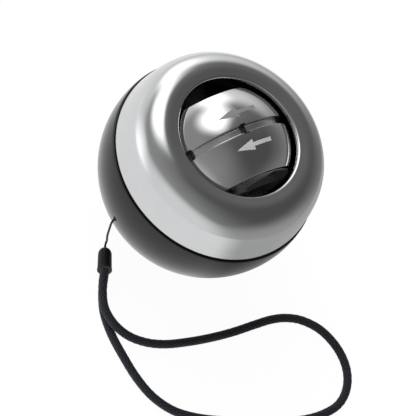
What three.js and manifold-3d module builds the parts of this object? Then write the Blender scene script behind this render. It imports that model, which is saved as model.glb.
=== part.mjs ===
// A gyroscopic wrist ball with a spring start, in millimetres, +Z up.
// The origin is the centre of the flat base. The rotor's axle lies along X at rest.
// The housing holds a ring that turns about Z, and the ring holds the rotor, which turns about X.
import * as THREE from 'three';
import { mergeVertices } from 'three/addons/utils/BufferGeometryUtils.js';
import Module from 'manifold-3d';

const wasm = await Module();
wasm.setup();

// Housing shells: the lower one is a sphere, cut flat below and cut at the seam above its centre
const ballRadius = 33;
const ballCentreDrop = 4.6;
const baseRadius = 10.5;
const shellWall = 1.3;
const seamGap = 0.6;
const lipHeight = 16.9;
const rimDrop = 0.6;
const rimEdge = 0.6;
const rimClearance = 1.51;

// Rotor: a sphere cut by two flats, with a groove round its middle
const flatDepth = 9.7;
const grooveHalfWidth = 1.2;
const grooveDepth = 1.2;
const notchCount = 8;
const notchAngle = 41.2;
const notchWidth = 2;
const notchDepth = 1.5;
const notchOverlap = 0.4;
const axleRadius = 1.5;
const axleTipRadius = 1.3;
const axleTipChamfer = 0.3;

// End caps in the rotor's flats
const capSeatDepth = 5.05;
const capBorder = 1.1;
const capLand = 1;
const capSink = 0.2;
const capFloor = 1.5;
const capBevel = 3.37;
const capBossRadius = 4.5;
const capBossSink = 0.4;
const ribCount = 6;
const ribWidth = 1.3;
const ribSink = 0.7;
const capScrewCount = 3;
const capScrewInset = 3.27;
const capScrewHeadRadius = 1.5;
const capScrewHeadHeight = 1;
const capScrewShankRadius = 0.8;
const capScrewGrip = 4;

// Ring that carries the rotor and turns in the housing
const rotorClearance = 0.6;
const ringWidth = 2.8;
const ringRoof = 0.6;
const ringBlockHalfWidth = 6;
const ringBlockGap = 0.7;
const bushRadius = 2.6;
const ringScrewAcross = 4.6;
const ringScrewInset = 0.6;
const ringScrewHeadRadius = 1.1;
const ringScrewHeadHeight = 0.8;
const ringScrewShankRadius = 0.7;
const ringScrewEnd = 3.2;

// Races: two bowls that meet at the seam and leave a track for the axle's tips between them
const bowlClearance = 1.6;
const bowlWall = 1.6;
const trackHalfHeight = 1.75;
const trackDepth = 1.6;
const trackWall = 0.8;
const seatHeight = 8;
const bowlTopDrop = 2.1;
const standLength = 16;
const standWidth = 1.6;
const standSinkShare = 0.875;

// Band between the shells, and the room that its sleeve leaves to their walls
const seamBandInset = 0.58;
const seamSleeveWall = 0.6;
const seamSleeveHalfHeight = 1.8;
const seamSleeveRoom = 0.98;

// Spring start: a coiled strip in a barrel on the ring, an arbor on the axle and two pawls
const barrelRadius = 7.2;
const barrelWall = 0.9;
const barrelInset = 6.2;
const barrelCoverThickness = 0.6;
const barrelNeckRadius = 3.6;
const barrelNeckLength = 1.3;
const sleeveWall = 0.8;
const plateRoom = 0.9;
const plateThickness = 1.2;
const plateSink = 1.1;
const pawlThickness = 1.4;
const pawlPivotDrop = 0.2;
const pawlReach = 6.7;
const pawlTipCatch = 0.1;
const pawlHubRadius = 1.5;
const pawlTipHalfWidth = 0.45;
const pawlPinRadius = 0.6;
const pawlPivotAngles = [90, 270];
const toothCount = 12;
const toothInset = 4.8;
const toothDepth = 1.3;
const toothRootShare = 1 / 3;
const springThickness = 0.25;
const springTurns = 3.5;

// Lanyard: a thread from a pin in the lower shell, a cap that lies on the floor, a loop of cord
const laceExit = [2.14, -31.24, 21.4];
const laceHoleRadius = 1.1;
const lacePinRadius = 0.8;
const lacePinDepth = 1.6;
const lacePinHalfLength = 3;
const laceEarHalfSpan = 1.7;
const laceEarThickness = 1.2;
const laceEarHalfWidth = 1.8;
const laceEarLength = 3.4;
const threadRadius = 0.35;
const cordRadius = 1.33;
const laceCapLength = 7.3;
const laceCapHalfWidth = 2.15;
const laceCapHalfDepth = 3;
const laceCapFlare = 0.2;
const laceCapFlareHeight = 0.8;
const laceCapFoot = [11.33, -31.67, 3.2];
const laceCapHeading = [-0.852, 0.523, 0];
const strandStackLean = [-0.214, -0.349, 0.912];

// Routes of the thread and the cord, chosen by hand
const threadRoute = [
  [2.01, -29.52, 21.94], [2.07, -30.3, 21.71], [2.13, -31.03, 21.42], [2.2, -31.57, 20.95], [2.3, -31.83, 20.15],
  [2.46, -31.65, 18.6], [2.7, -31, 16.1], [2.97, -30, 12.7], [3.2, -28.85, 9.2], [3.37, -27.78, 6.6],
  [3.43, -27.1, 5.1], [3.62, -26.94, 4.05], [4.1, -27.22, 3.42], [4.81, -27.67, 3.2],
];
const cordRoute = [
  [11.88, -31.34, 1.93], [15.2, -33.7, 1.5], [17.9, -35.4, 1.36], [22.9, -37.7, 1.36], [29.7, -38.9, 1.36],
  [37.4, -38.9, 1.36], [44.9, -38.3, 1.36], [51.7, -36.5, 1.36], [57.7, -32.7, 1.36], [62, -27.4, 1.36],
  [66.4, -19.2, 1.36], [71.9, -6.9, 1.36], [76, 7.5, 1.36], [76.6, 14.6, 1.36], [75.9, 19.9, 1.36],
  [73.7, 24.1, 1.36], [70, 27.5, 1.36], [65.2, 29.5, 1.36], [59.1, 29.7, 1.36], [52.5, 27.5, 1.36],
  [47.5, 23, 1.36], [45, 18.25, 1.36], [43.85, 13.5, 1.36], [43.4, 7.95, 1.36], [42.95, -0.4, 1.36],
  [42, -8.5, 1.36], [40.45, -16.85, 1.36], [38.5, -24.3, 1.5], [35.95, -30, 1.95], [32.2, -35.1, 3],
  [27.5, -38.2, 4.2], [22.1, -38.5, 4.4], [16.35, -35.9, 4.4], [11.29, -32.31, 4.47],
];

// Clearances
const fitGap = 0.3;
const faceGap = 0.05;
const cutOverrun = 1;
const weldDistance = 1e-4;

// Facets: sides are counted round a turned piece, steps along its outline
const shellSides = 40;
const bowlSides = 32;
const rotorSides = 40;
const capSides = 32;
const barrelSides = 20;
const smallSides = 16;
const tinySides = 10;
const upperOuterSteps = 11;
const upperInnerSteps = 6;
const lowerOuterSteps = 8;
const lowerInnerSteps = 6;
const rotorSteps = 5;
const upperBowlInnerSteps = 3;
const upperBowlOuterSteps = 2;
const lowerBowlInnerSteps = 5;
const lowerBowlOuterSteps = 4;
const seatSteps = 2;
const ringSteps = 2;
const domeSteps = 4;
const pawlBackSteps = 8;
const springStepsPerTurn = 16;
const cordSides = 8;
const cordStepShare = 2.5;

// Angles and places that follow from the sizes
const fullTurn = 2 * Math.PI;
const quarterTurn = fullTurn / 4;
const radians = (degrees) => degrees * fullTurn / 360;
const legOf = (radius, leg) => Math.sqrt(radius * radius - leg * leg);
const seamRadius = legOf(ballRadius, ballCentreDrop);
const seamHeight = ballCentreDrop + legOf(ballRadius, baseRadius);
const shellInner = ballRadius - shellWall;
const seamSleeveOuter = seamRadius - shellWall - seamSleeveRoom;
const seamSleeveInner = seamSleeveOuter - seamSleeveWall;
const raceOuter = seamSleeveInner - fitGap;
const trackFloor = raceOuter - trackWall;
const trackLip = trackFloor - trackDepth;
const ringOuter = trackLip - fitGap;
const ringInner = ringOuter - ringWidth;
const rotorRadius = ringInner - rotorClearance;
const rotorFlat = rotorRadius - flatDepth;
const rimHeight = lipHeight - rimDrop;
const rimRadius = legOf(rotorRadius + rimClearance, rimHeight - rimEdge);
const axleEnd = trackFloor - fitGap;
const bowlRadius = rotorRadius + bowlClearance;
const bowlOuter = bowlRadius + bowlWall;
const bowlTop = lipHeight - bowlTopDrop;
const boreRadius = axleRadius + fitGap;
const blockFace = rotorFlat + ringBlockGap;
const bushBore = bushRadius + fitGap;
const ringScrewOut = ringInner - ringScrewInset;
const ringHalfHeight = barrelNeckRadius + fitGap + ringRoof;
const sleeveRadius = boreRadius + sleeveWall;
const barrelBack = ringOuter - barrelInset;
const barrelFront = blockFace - faceGap + barrelCoverThickness;
const barrelInner = barrelRadius - barrelWall;
const capSeat = rotorFlat - capSeatDepth;
const capFace = rotorFlat - capSink;
const capRadius = legOf(rotorRadius, rotorFlat) - capBorder - fitGap;
const capDishRadius = capRadius - capLand - capBevel;
const capScrewCircle = capRadius - capScrewInset;
const capFloorTop = capSeat + capFloor;
const toothTipRadius = capScrewCircle - toothInset;
const plateRadius = toothTipRadius - plateRoom;
const plateFace = rotorFlat - plateSink;
const plateBack = plateFace - plateThickness;
const pawlTipRadius = toothTipRadius + pawlTipCatch;
const pawlPivotRadius = (sleeveRadius + fitGap + toothTipRadius) / 2 - pawlPivotDrop;

// Solids: a closed mesh becomes a solid that can be joined and cut
function solidOf(geometry) {
  const bare = geometry.clone();
  bare.deleteAttribute('normal');
  bare.deleteAttribute('uv');
  const merged = mergeVertices(bare, weldDistance);
  const corners = merged.index.array;
  const triangles = [];
  for (let i = 0; i < corners.length; i += 3) {
    const [a, b, c] = corners.slice(i, i + 3);
    if (a !== b && b !== c && c !== a) triangles.push(a, b, c);
  }
  const vertProperties = new Float32Array(merged.attributes.position.array);
  const triVerts = new Uint32Array(triangles);
  return new wasm.Manifold(new wasm.Mesh({ numProp: 3, vertProperties, triVerts }));
}

// Turns an outline of [radius, height] points about Z, or about X where height runs along +X
function turnedGeometry(outline, sides, aboutX) {
  const points = outline.map(([radius, height]) => new THREE.Vector2(radius, height));
  if (THREE.ShapeUtils.area(points) < 0) points.reverse();
  const onAxis = points[0].x === 0 && points[points.length - 1].x === 0;
  if (!onAxis) points.push(points[0].clone());
  const geometry = new THREE.LatheGeometry(points, sides);
  if (aboutX) geometry.rotateZ(-quarterTurn);
  else geometry.rotateX(quarterTurn);
  return geometry;
}

const turned = (outline, sides) => solidOf(turnedGeometry(outline, sides, false));
const turnedX = (outline, sides) => solidOf(turnedGeometry(outline, sides, true));

const rodOutline = (radius, from, to) => [[0, from], [radius, from], [radius, to], [0, to]];
const tubeOutline = (inner, outer, from, to) => [[inner, from], [outer, from], [outer, to], [inner, to]];
const rod = (radius, from, to, sides) => turned(rodOutline(radius, from, to), sides);
const rodX = (radius, from, to, sides) => turnedX(rodOutline(radius, from, to), sides);
const tubeX = (inner, outer, from, to, sides) => turnedX(tubeOutline(inner, outer, from, to), sides);

function box(low, high) {
  const size = high.map((value, i) => value - low[i]);
  const geometry = new THREE.BoxGeometry(...size);
  geometry.translate(...low.map((value, i) => value + size[i] / 2));
  return solidOf(geometry);
}

// A flat outline of [y, z] points, pushed along X
function slabX(outline, holes, from, to) {
  const shape = new THREE.Shape(outline.map(([y, z]) => new THREE.Vector2(y, z)));
  for (const hole of holes) shape.holes.push(new THREE.Path(hole.map(([y, z]) => new THREE.Vector2(y, z))));
  const geometry = new THREE.ExtrudeGeometry(shape, { depth: to - from, bevelEnabled: false });
  geometry.applyMatrix4(new THREE.Matrix4().makeBasis(
    new THREE.Vector3(0, 1, 0), new THREE.Vector3(0, 0, 1), new THREE.Vector3(1, 0, 0)));
  geometry.translate(from, 0, 0);
  return solidOf(geometry);
}

const polar = (radius, angle) => [radius * Math.cos(angle), radius * Math.sin(angle)];

function arcOutline(radius, centreHeight, fromHeight, toHeight, steps) {
  const from = Math.asin((fromHeight - centreHeight) / radius);
  const to = Math.asin((toHeight - centreHeight) / radius);
  const points = [];
  for (let i = 0; i <= steps; i += 1) {
    const angle = from + (to - from) * i / steps;
    points.push([Math.max(radius * Math.cos(angle), 0), centreHeight + radius * Math.sin(angle)]);
  }
  return points;
}

const turnedAbout = (solid, degrees) => solid.rotate([degrees, 0, 0]);
const joined = (solids) => solids.reduce((whole, solid) => whole.add(solid));

// The scene graph: the ball's pieces are built round the rotor's centre, which lies on the seam
const wristBall = new THREE.Group();
const ball = new THREE.Group();
ball.position.z = seamHeight;
wristBall.add(ball);

const finish = (color, roughness, metalness) => new THREE.MeshStandardMaterial({ color, roughness, metalness });
const satinSteel = finish(0x9a9c9f, 0.28, 1);
const darkSteel = finish(0x4b4d50, 0.34, 1);
const chrome = finish(0xd5d7da, 0.08, 1);
const steel = finish(0xa8aaad, 0.3, 1);
const springSteel = finish(0x6d7684, 0.35, 1);
const brass = finish(0xb08d4a, 0.35, 1);
const blackPlastic = finish(0x17181a, 0.5, 0);
const greyPlastic = finish(0x2b2d30, 0.55, 0);
const rubber = finish(0x0f1011, 0.85, 0);
const wovenBlack = finish(0x282a2e, 0.95, 0);

function addPiece(group, name, solid, material) {
  const mesh = solid.getMesh();
  const geometry = new THREE.BufferGeometry();
  geometry.setAttribute('position', new THREE.BufferAttribute(new Float32Array(mesh.vertProperties), 3));
  geometry.setIndex(new THREE.BufferAttribute(new Uint32Array(mesh.triVerts), 1));
  geometry.computeVertexNormals();
  const piece = new THREE.Mesh(geometry, material);
  piece.name = name;
  group.add(piece);
}

// Upper shell: shares of the way from the rim out to the seam, and of the lip's height
const upperOutlineShares = [
  [0.9633, 0.018], [0.9559, 0.105], [0.9351, 0.21], [0.9179, 0.315], [0.8983, 0.42], [0.8702, 0.525],
  [0.831, 0.63], [0.7624, 0.735], [0.6619, 0.84], [0.4856, 0.94], [0.2773, 0.995], [0.1059, 0.99],
];

function upperLine(steps) {
  const marks = upperOutlineShares.map(([across, up]) => (
    new THREE.Vector2(rimRadius + across * (seamRadius - rimRadius), up * lipHeight)));
  marks[0].y = seamGap / 2;
  return new THREE.SplineCurve(marks).getSpacedPoints(steps).map((point) => [point.x, point.y]);
}

function movedInward(line, distance) {
  return line.map(([across, up], i) => {
    const before = line[Math.max(i - 1, 0)];
    const after = line[Math.min(i + 1, line.length - 1)];
    const run = [after[0] - before[0], after[1] - before[1]];
    const length = Math.hypot(...run);
    return [across - run[1] / length * distance, up + run[0] / length * distance];
  });
}

const upperInner = movedInward(upperLine(upperInnerSteps), shellWall);
upperInner[0][1] = seamGap / 2;

function radiusAt(line, height) {
  const next = line.findIndex(([, up]) => up >= height);
  const [low, high] = [line[Math.max(next - 1, 0)], line[next]];
  if (low === high) return low[0];
  return low[0] + (high[0] - low[0]) * (height - low[1]) / (high[1] - low[1]);
}

function upperShell() {
  const rim = [[rimRadius, rimHeight], [rimRadius, rimHeight - rimEdge],
    [rimRadius + rimEdge, rimHeight - rimEdge - rimEdge]];
  return turned([...upperLine(upperOuterSteps), ...rim, ...upperInner.toReversed()], shellSides);
}

// Lower shell: with a hole for the lanyard's thread and two ears inside that hold its pin
const sphereCentre = new THREE.Vector3(0, 0, -ballCentreDrop);
const laceOutward = new THREE.Vector3(...laceExit).setZ(laceExit[2] - seamHeight).sub(sphereCentre).normalize();
const laceAcross = new THREE.Vector3(0, 0, 1).cross(laceOutward).normalize();
const laceFrame = new THREE.Matrix4().makeBasis(laceAcross, laceOutward.clone().cross(laceAcross), laceOutward);
laceFrame.setPosition(sphereCentre);

// Local frame of the hole: X along the pin, Z outward through the hole
const inLaceFrame = (solid) => solid.transform(laceFrame.elements);

function lowerShell() {
  const top = -seamGap / 2;
  const base = legOf(ballRadius, baseRadius);
  const outer = arcOutline(ballRadius, -ballCentreDrop, -ballCentreDrop - base, top, lowerOuterSteps);
  const floorHeight = -ballCentreDrop - base + shellWall;
  const inner = arcOutline(shellInner, -ballCentreDrop, floorHeight, top, lowerInnerSteps);
  const bowl = turned([[0, outer[0][1]], ...outer, ...inner.reverse(), [0, floorHeight]], shellSides);
  const pinRadius = shellInner - lacePinDepth;
  const ears = [-1, 1].map((side) => {
    const middle = side * (laceEarHalfSpan + laceEarThickness / 2);
    return box(
      [middle - laceEarThickness / 2, -laceEarHalfWidth, shellInner - laceEarLength],
      [middle + laceEarThickness / 2, laceEarHalfWidth, shellInner + shellWall / 2]);
  });
  const pinHole = rodX(lacePinRadius + fitGap, -lacePinHalfLength - cutOverrun, lacePinHalfLength + cutOverrun,
    tinySides).translate([0, 0, pinRadius]);
  const hole = rod(laceHoleRadius, shellInner - cutOverrun, ballRadius + cutOverrun, tinySides);
  const mount = joined(ears).subtract(pinHole);
  return bowl.add(inLaceFrame(mount)).subtract(inLaceFrame(hole));
}

function lacePin() {
  const pin = rodX(lacePinRadius, -lacePinHalfLength, lacePinHalfLength, tinySides);
  return inLaceFrame(pin.translate([0, 0, shellInner - lacePinDepth]));
}

// Band between the shells: the dark line round the ball, with a sleeve behind it
function seamBand() {
  const web = seamGap / 2 - faceGap;
  const edge = seamRadius - seamBandInset;
  return turned([
    [seamSleeveInner, -seamSleeveHalfHeight], [seamSleeveOuter, -seamSleeveHalfHeight], [seamSleeveOuter, -web],
    [edge, -web], [edge, web], [seamSleeveOuter, web],
    [seamSleeveOuter, seamSleeveHalfHeight], [seamSleeveInner, seamSleeveHalfHeight],
  ], shellSides);
}

// Races: the seat follows the shell's inner wall from the sleeve to the seat's height
const sleeveTop = seamSleeveHalfHeight + fitGap;

function raceTrackLine() {
  return [[trackLip, ringHalfHeight + fitGap], [trackLip, trackHalfHeight], [trackFloor, trackHalfHeight],
    [trackFloor, faceGap / 2], [raceOuter, faceGap / 2], [raceOuter, sleeveTop]];
}

function seatLine(wallAt) {
  const points = [];
  for (let i = 0; i <= seatSteps; i += 1) {
    const height = sleeveTop + (seatHeight - sleeveTop) * i / seatSteps;
    points.push([wallAt(height) - fitGap, height]);
  }
  return points;
}

function upperRace() {
  const inner = arcOutline(bowlRadius, 0, bowlTop, ringHalfHeight + fitGap, upperBowlInnerSteps);
  const outer = arcOutline(bowlOuter, 0, seatHeight + shellWall, bowlTop, upperBowlOuterSteps);
  const seat = seatLine((height) => radiusAt(upperInner, height));
  return turned([...inner, ...raceTrackLine(), ...seat, ...outer], bowlSides);
}

function lowerRace() {
  const inner = arcOutline(bowlRadius, 0, -bowlRadius, -ringHalfHeight - fitGap, lowerBowlInnerSteps);
  const outer = arcOutline(bowlOuter, 0, -seatHeight - shellWall, -bowlOuter, lowerBowlOuterSteps);
  const wallAt = (height) => legOf(shellInner, height - ballCentreDrop);
  const down = ([across, up]) => [across, -up];
  const line = [...raceTrackLine(), ...seatLine(wallAt)].map(down);
  const bowl = turned([...inner, ...line, ...outer], bowlSides);
  const standFoot = -seamHeight + shellWall + fitGap;
  const standTop = -bowlOuter + standSinkShare * bowlWall;
  const halfLength = standLength / 2;
  const halfWidth = standWidth / 2;
  const stand = box([-halfLength, -halfWidth, standFoot], [halfLength, halfWidth, standTop]);
  return joined([bowl, stand, stand.rotate([0, 0, 90])]);
}

// Ring: two halves that meet on the axle's plane and clamp the bushes and the barrel's neck
const barrelRear = barrelBack + fitGap;
const neckEnd = barrelBack + barrelNeckLength;
const bushInnerLeft = neckEnd + fitGap;
const bushEnd = ringOuter - fitGap;

function ringHalf(side) {
  const split = faceGap / 2;
  const innerArc = arcOutline(ringInner, 0, split, ringHalfHeight, ringSteps);
  const band = turned([...innerArc, [ringOuter, ringHalfHeight], [ringOuter, split]], bowlSides);
  const blockEnd = legOf(ringInner, ringBlockHalfWidth) + ringWidth / 2;
  const rightBlock = box([blockFace, -ringBlockHalfWidth, split], [blockEnd, ringBlockHalfWidth, ringHalfHeight]);
  const leftBlock = box([-blockEnd, -ringBlockHalfWidth, split], [-barrelRear, ringBlockHalfWidth, ringHalfHeight]);
  const endBore = rodX(bushBore, -ringOuter - cutOverrun, ringOuter + cutOverrun, smallSides);
  const neckBore = rodX(barrelNeckRadius + fitGap, -neckEnd - fitGap, -barrelRear + cutOverrun, smallSides);
  let half = joined([band, rightBlock, leftBlock]).subtract(endBore).subtract(neckBore);
  for (const [x, y] of ringScrewPlaces()) {
    half = half.subtract(rod(ringScrewShankRadius + fitGap, -ringScrewEnd, ringHalfHeight + cutOverrun, tinySides)
      .translate([x, y, 0]));
    if (side > 0) {
      const seat = ringHalfHeight - ringScrewHeadHeight - fitGap;
      half = half.subtract(rod(ringScrewHeadRadius + fitGap, seat, ringHalfHeight + cutOverrun, tinySides)
        .translate([x, y, 0]));
    }
  }
  return side > 0 ? half : half.mirror([0, 0, 1]);
}

function ringScrewPlaces() {
  return [[1, 1], [1, -1], [-1, 1], [-1, -1]].map(([a, b]) => [a * ringScrewOut, b * ringScrewAcross]);
}

function ringScrew([x, y]) {
  const seat = ringHalfHeight - ringScrewHeadHeight - fitGap + faceGap;
  const outline = [[0, -ringScrewEnd + fitGap], [ringScrewShankRadius, -ringScrewEnd + fitGap],
    [ringScrewShankRadius, seat], [ringScrewHeadRadius, seat],
    [ringScrewHeadRadius, seat + ringScrewHeadHeight], [0, seat + ringScrewHeadHeight]];
  return turned(outline, tinySides).translate([x, y, 0]);
}

// Spring start, on the ring: barrel, cover and coiled strip
function springBarrel() {
  const floor = barrelBack - barrelWall;
  return turnedX([
    [boreRadius + fitGap, -neckEnd], [barrelNeckRadius, -neckEnd], [barrelNeckRadius, -barrelBack],
    [barrelRadius, -barrelBack], [barrelRadius, -barrelFront - faceGap],
    [barrelInner, -barrelFront - faceGap], [barrelInner, -floor], [boreRadius + fitGap, -floor],
  ], barrelSides);
}

function springCover() {
  return tubeX(sleeveRadius + fitGap, barrelRadius, -barrelFront, -blockFace + faceGap, barrelSides);
}

function mainspring() {
  const steps = springTurns * springStepsPerTurn;
  const innerStart = sleeveRadius + fitGap;
  const outerEnd = barrelInner - fitGap - springThickness;
  const side = (extra) => {
    const points = [];
    for (let i = 0; i <= steps; i += 1) {
      const radius = innerStart + extra + (outerEnd - innerStart) * i / steps;
      points.push(polar(radius, fullTurn * i / springStepsPerTurn));
    }
    return points;
  };
  const strip = [...side(springThickness), ...side(0).reverse()];
  return slabX(strip, [], -barrelBack + barrelWall + fitGap, -barrelFront - faceGap - fitGap);
}

// Arbor: a sleeve on the axle, a plate in the rotor's end and two pawl pins
const arborEnd = capFloorTop - capFloor / 2 + fitGap;
const pawlFront = plateBack - faceGap;
const pawlBack = pawlFront - pawlThickness;

function springArbor() {
  const sleeve = tubeX(boreRadius, sleeveRadius, -barrelBack + barrelWall + fitGap, -arborEnd, smallSides);
  const plate = tubeX(boreRadius + fitGap / 2, plateRadius, -plateFace, -plateBack, barrelSides);
  const pins = pawlPivotAngles.map((angle) => {
    const pin = rodX(pawlPinRadius, -plateBack - plateThickness / 2, -pawlBack + faceGap, tinySides);
    return turnedAbout(pin.translate([0, pawlPivotRadius, 0]), angle);
  });
  return joined([sleeve, plate, ...pins]);
}

// A pawl at pivot angle zero: its tip trails the pivot, so the rotor drives it one way only
const pawlSpread = Math.acos((pawlPivotRadius ** 2 + pawlTipRadius ** 2 - pawlReach ** 2)
  / (2 * pawlPivotRadius * pawlTipRadius));

function pawl(pivotAngle) {
  const pivot = [pawlPivotRadius, 0];
  const tip = polar(pawlTipRadius, -pawlSpread);
  const arm = Math.atan2(tip[1], tip[0] - pawlPivotRadius);
  const aside = (angle, radius, from) => polar(radius, angle).map((value, i) => value + from[i]);
  const outline = [-quarterTurn, quarterTurn].map((turn) => aside(arm + turn, pawlTipHalfWidth, tip));
  for (let i = 0; i <= pawlBackSteps; i += 1) {
    outline.push(aside(arm + quarterTurn + Math.PI * i / pawlBackSteps, pawlHubRadius, pivot));
  }
  const hole = [];
  for (let i = 0; i < tinySides; i += 1) {
    hole.push(aside(fullTurn * i / tinySides, pawlPinRadius + fitGap, pivot));
  }
  return turnedAbout(slabX(outline, [hole], -pawlFront, -pawlBack), pivotAngle);
}

// Ratchet ring inside the left cap: each tooth has a steep face that meets a pawl's tip
function ratchetTeeth(from, to) {
  const tipRoom = (pawlTipHalfWidth + fitGap + fitGap) / pawlTipRadius;
  const steepFace = radians(pawlPivotAngles[0]) - pawlSpread - tipRoom;
  const rootRadius = toothTipRadius + toothDepth;
  const pitch = fullTurn / toothCount;
  const inner = [];
  for (let i = 0; i < toothCount; i += 1) {
    const start = steepFace + pitch * i;
    inner.push(polar(toothTipRadius, start), polar(rootRadius, start));
    inner.push(polar(rootRadius, start + pitch * toothRootShare));
  }
  const outer = [];
  for (let i = 0; i < capSides; i += 1) {
    outer.push(polar(rootRadius + toothDepth / 2, fullTurn * i / capSides));
  }
  return slabX(outer, [inner], from, to);
}

// Rotor: two halves, a core that shows in the groove, and the axle
function rotorHalf(side) {
  const seatRadius = capRadius + fitGap;
  const sphere = arcOutline(rotorRadius, 0, grooveHalfWidth, rotorFlat, rotorSteps);
  const seat = [[seatRadius, rotorFlat], [seatRadius, capSeat], [boreRadius, capSeat]];
  let half = turnedX([[boreRadius, grooveHalfWidth], ...sphere, ...seat], rotorSides);
  for (const place of capScrewAngles()) half = half.subtract(capScrewBore(place));
  for (const notch of notchBoxes()) half = half.subtract(notch);
  return side > 0 ? half : half.mirror([1, 0, 0]);
}

function notchBoxes() {
  const low = rotorRadius - grooveDepth - notchDepth;
  const halfLength = grooveHalfWidth + notchOverlap;
  const notch = box([-halfLength, -notchWidth / 2, low], [halfLength, notchWidth / 2, rotorRadius + cutOverrun]);
  const boxes = [];
  for (let i = 0; i < notchCount; i += 1) {
    const fromMinusY = notchAngle + 360 * i / notchCount;
    boxes.push(turnedAbout(notch, 90 - fromMinusY));
  }
  return boxes;
}

function rotorCore() {
  const half = grooveHalfWidth - faceGap;
  let core = tubeX(boreRadius, rotorRadius - grooveDepth, -half, half, rotorSides);
  for (const notch of notchBoxes()) core = core.subtract(notch);
  return core;
}

function capScrewAngles() {
  const angles = [];
  for (let i = 0; i < capScrewCount; i += 1) angles.push(180 / ribCount + 360 * i / capScrewCount);
  return angles;
}

function capScrewBore(angle) {
  const bore = rodX(capScrewShankRadius + fitGap, capSeat - capScrewGrip - fitGap, rotorFlat, tinySides);
  return turnedAbout(bore.translate([0, capScrewCircle, 0]), angle);
}

function capScrew(angle) {
  const seat = capFloorTop + faceGap;
  const screw = turnedX([
    [0, capSeat - capScrewGrip], [capScrewShankRadius, capSeat - capScrewGrip], [capScrewShankRadius, seat],
    [capScrewHeadRadius, seat], [capScrewHeadRadius, seat + capScrewHeadHeight], [0, seat + capScrewHeadHeight],
  ], tinySides);
  return turnedAbout(screw.translate([0, capScrewCircle, 0]), angle);
}

// Caps: a dish with a bevelled wall and ribs; screws hold each one in its half of the rotor
function capBody(dishFloorRadius, dishFloor, boss) {
  const outline = [
    [boreRadius, capSeat + faceGap], [capRadius, capSeat + faceGap], [capRadius, capFace],
    [capRadius - capLand, capFace], [dishFloorRadius, dishFloor], ...boss,
  ];
  let cap = turnedX(outline, capSides);
  const ribTop = capFace - ribSink;
  const [ribFrom] = boss[0];
  const rib = box([capFloorTop - capFloor / 2, ribFrom - fitGap, -ribWidth / 2],
    [ribTop, capRadius - capLand / 2, ribWidth / 2]);
  for (let i = 0; i < ribCount; i += 1) cap = cap.add(turnedAbout(rib, 360 * i / ribCount));
  for (const angle of capScrewAngles()) {
    const well = rodX(capScrewHeadRadius + fitGap, capFloorTop, rotorFlat, tinySides);
    cap = cap.subtract(turnedAbout(well.translate([0, capScrewCircle, 0]), angle)).subtract(capScrewBore(angle));
  }
  return cap;
}

function rightCap() {
  const bossTop = rotorFlat - capBossSink;
  return capBody(capDishRadius, capFloorTop, [
    [capBossRadius, capFloorTop], [capBossRadius, bossTop], [boreRadius, bossTop],
  ]);
}

function leftCap() {
  const ratchetOuter = toothTipRadius + toothDepth + fitGap;
  const ratchetFloor = capSeat + capFloor / 2;
  const dishFloor = pawlFront + faceGap;
  const cap = capBody(ratchetOuter + capLand, dishFloor, [
    [ratchetOuter, dishFloor], [ratchetOuter, ratchetFloor], [boreRadius, ratchetFloor],
  ]);
  const teeth = ratchetTeeth(ratchetFloor - faceGap, dishFloor);
  return cap.mirror([1, 0, 0]).add(teeth.translate([-dishFloor - ratchetFloor + faceGap, 0, 0]));
}

function axle() {
  const shoulder = bushEnd + fitGap;
  const half = [[axleTipRadius - axleTipChamfer, axleEnd], [axleTipRadius, axleEnd - axleTipChamfer],
    [axleTipRadius, shoulder], [axleRadius, shoulder]];
  const other = half.map(([radius, along]) => [radius, -along]).reverse();
  return turnedX([[0, axleEnd], ...half, ...other, [0, -axleEnd]], smallSides);
}

// Lanyard: tubes along the routes, and a domed cap that lies on the floor
function tubeAlong(route, radius) {
  const curve = new THREE.CatmullRomCurve3(route.map((point) => new THREE.Vector3(...point)), false, 'centripetal');
  const section = new THREE.Shape();
  for (let i = 0; i < cordSides; i += 1) {
    const [across, up] = polar(radius, fullTurn * (i + 1 / 2) / cordSides);
    if (i === 0) section.moveTo(across, up);
    else section.lineTo(across, up);
  }
  const steps = Math.ceil(curve.getLength() / (cordStepShare * 2 * radius));
  return solidOf(new THREE.ExtrudeGeometry(section, { steps, extrudePath: curve, bevelEnabled: false }));
}

function laceCap() {
  const domeHeight = laceCapHalfWidth;
  const straight = laceCapLength - domeHeight;
  const outline = [[0, 0], [laceCapHalfWidth + laceCapFlare, 0], [laceCapHalfWidth, laceCapFlareHeight]];
  for (let i = 0; i <= domeSteps; i += 1) {
    const angle = quarterTurn * i / domeSteps;
    const across = i === domeSteps ? 0 : laceCapHalfWidth * Math.cos(angle);
    outline.push([across, straight + domeHeight * Math.sin(angle)]);
  }
  const geometry = turnedGeometry(outline, smallSides, false);
  geometry.scale(1, laceCapHalfDepth / laceCapHalfWidth, 1);
  const along = new THREE.Vector3(...laceCapHeading).normalize();
  const stack = new THREE.Vector3(...strandStackLean).normalize();
  const across = stack.clone().cross(along).normalize();
  const frame = new THREE.Matrix4().makeBasis(across, stack, along).setPosition(...laceCapFoot);
  geometry.applyMatrix4(frame);
  return solidOf(geometry);
}

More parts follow.
